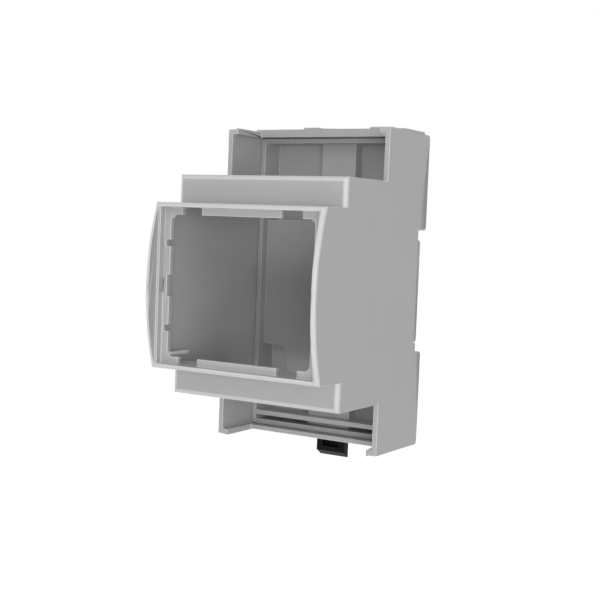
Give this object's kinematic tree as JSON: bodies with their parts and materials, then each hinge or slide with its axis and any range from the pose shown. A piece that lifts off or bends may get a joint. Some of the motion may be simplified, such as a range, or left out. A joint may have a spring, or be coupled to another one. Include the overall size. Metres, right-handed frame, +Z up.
{
  "type": "din rail enclosure",
  "caption": "Stepped plastic enclosure for a top-hat rail, with an open bulged front frame, open terminal rows, a rear tray and a sprung black rail foot.",
  "frame": {"origin": "middle of the rail seat at the back of the enclosure", "axes": "+X to the right as seen from the front, +Y back towards the rail, +Z up"},
  "size_m": [0.053, 0.0624, 0.0984],
  "materials": {
    "cover_plastic": "light grey moulded plastic with a fine matt grain",
    "tray_plastic": "light grey moulded plastic, slightly darker than the cover",
    "foot_plastic": "black moulded plastic, satin"
  },
  "bodies": {
    "housing": {"cover": "cover_plastic", "base": "tray_plastic"},
    "foot": {"rail_foot": "foot_plastic"}
  },
  "joints": [
    {"name": "foot_slide", "type": "slide", "parent": "housing", "child": "foot", "axis": [0, 0, -1], "range_m": [0, 0.004], "stiffness_N_per_m": 2500, "springref_m": -0.002}
  ]
}
